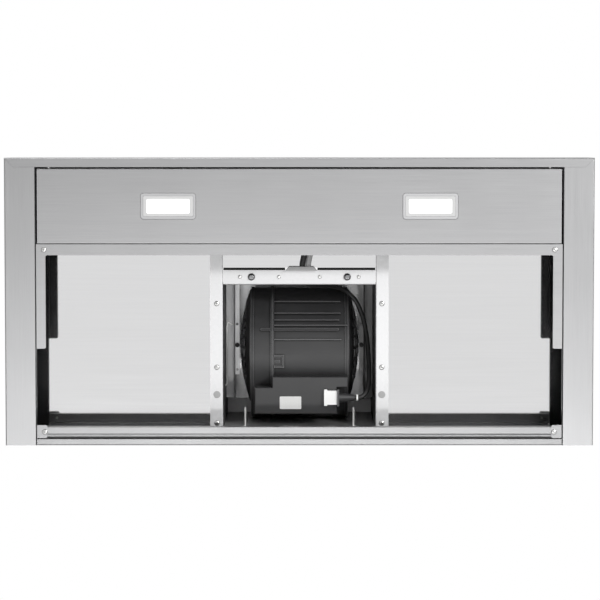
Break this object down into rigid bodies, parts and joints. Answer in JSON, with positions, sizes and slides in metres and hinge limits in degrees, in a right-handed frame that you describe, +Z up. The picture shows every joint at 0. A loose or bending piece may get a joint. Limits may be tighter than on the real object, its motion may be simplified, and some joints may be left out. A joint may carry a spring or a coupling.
{
  "type": "range hood",
  "caption": "Wall-hung stainless chimney range hood with a shallow box canopy, open filter bays below, a drum-fan blower in a sheet box, lamps, push buttons and a telescopic chimney.",
  "frame": {"origin": "midway between the two wall holes, on the wall plane", "axes": "+X to the right of a person facing the hood, +Y into the wall, +Z up"},
  "size_m": [0.9, 0.44, 0.561],
  "materials": {
    "canopy_steel": "brushed",
    "roof_steel": "polished",
    "galvanised_sheet": "galvanised",
    "bright_screw": "bright",
    "dark_stud": "satin",
    "shaft_steel": "ground",
    "motor_casing": "cast",
    "lamp_bezel": "satin",
    "lamp_body": "matt",
    "lamp_lens": "frosted",
    "black_plastic": "satin",
    "grey_plastic": "matt",
    "white_plastic": "satin",
    "button_plastic": "satin",
    "circuit_board": "satin",
    "black_rubber": "matt",
    "grey_rubber": "matt"
  },
  "bodies": {
    "hood": {"adjusting_screws": "bright_screw", "blower_bracket_left": "galvanised_sheet", "blower_bracket_right": "galvanised_sheet", "box_front": "galvanised_sheet", "box_rear": "galvanised_sheet", "box_side_left": "galvanised_sheet", "box_side_right": "galvanised_sheet", "box_top": "galvanised_sheet", "button_bezel": "black_plastic", "cable_grommet": "grey_rubber", "cable_tie": "white_plastic", "chimney_lower": "canopy_steel", "control_board": "circuit_board", "control_box": "black_plastic", "control_lead": "black_rubber", "corner_screws": "bright_screw", "cross_strap": "galvanised_sheet", "damper_pin": "shaft_steel", "duct_collar": "black_plastic", "filter_rest": "canopy_steel", "front_panel": "canopy_steel", "hole_plugs": "grey_plastic", "hook_brackets": "galvanised_sheet", "inlet_guard_left": "black_plastic", "inlet_guard_right": "black_plastic", "lamp_bezels": "lamp_bezel", "lamp_lead": "grey_rubber", "lamp_lenses": "lamp_lens", "lamp_modules": "lamp_body", "light_panel": "canopy_steel", "motor": "motor_casing", "motor_cable": "black_rubber", "motor_plug": "white_plastic", "motor_spider": "black_plastic", "plug_boot": "black_plastic", "rail_brackets": "canopy_steel", "rear_panel": "canopy_steel", "rear_rail": "canopy_steel", "roof_panel": "roof_steel", "rubber_buffers": "black_rubber", "scroll_left": "black_plastic", "scroll_right": "black_plastic", "side_panel_left": "canopy_steel", "side_panel_right": "canopy_steel", "strap_rivets": "bright_screw", "strap_studs": "dark_stud", "strip_screws": "bright_screw", "terminal_box": "black_plastic"},
    "fan": {"fan_wheel": "black_plastic", "motor_shaft": "shaft_steel"},
    "front_damper": {"damper_flap_front": "black_plastic"},
    "rear_damper": {"damper_flap_rear": "black_plastic"},
    "light_button": {"button_light": "button_plastic"},
    "off_button": {"button_off": "button_plastic"},
    "low_button": {"button_low": "button_plastic"},
    "medium_button": {"button_medium": "button_plastic"},
    "high_button": {"button_high": "button_plastic"},
    "sliding_chimney": {"chimney_upper": "canopy_steel", "chimney_bracket": "galvanised_sheet", "chimney_screws": "bright_screw"}
  },
  "joints": [
    {"name": "fan_spin", "type": "hinge", "parent": "hood", "child": "fan", "pos_m": [0, -0.134, 0.193], "axis": [1, 0, 0], "continuous": true},
    {"name": "front_damper_swing", "type": "hinge", "parent": "hood", "child": "front_damper", "pos_m": [0, -0.0885, 0.316], "axis": [-1, 0, 0], "range_deg": [0, 75]},
    {"name": "rear_damper_swing", "type": "hinge", "parent": "hood", "child": "rear_damper", "pos_m": [0, -0.0885, 0.316], "axis": [1, 0, 0], "range_deg": [0, 75]},
    {"name": "light_button_press", "type": "slide", "parent": "hood", "child": "light_button", "axis": [0, 1, 0], "range_m": [0, 0.002], "stiffness_N_per_m": 400},
    {"name": "off_button_press", "type": "slide", "parent": "hood", "child": "off_button", "axis": [0, 1, 0], "range_m": [0, 0.002], "stiffness_N_per_m": 400},
    {"name": "low_button_press", "type": "slide", "parent": "hood", "child": "low_button", "axis": [0, 1, 0], "range_m": [0, 0.002], "stiffness_N_per_m": 400},
    {"name": "medium_button_press", "type": "slide", "parent": "hood", "child": "medium_button", "axis": [0, 1, 0], "range_m": [0, 0.002], "stiffness_N_per_m": 400},
    {"name": "high_button_press", "type": "slide", "parent": "hood", "child": "high_button", "axis": [0, 1, 0], "range_m": [0, 0.002], "stiffness_N_per_m": 400},
    {"name": "chimney_slide", "type": "slide", "parent": "hood", "child": "sliding_chimney", "axis": [0, 0, 1], "range_m": [0, 0.36]}
  ]
}
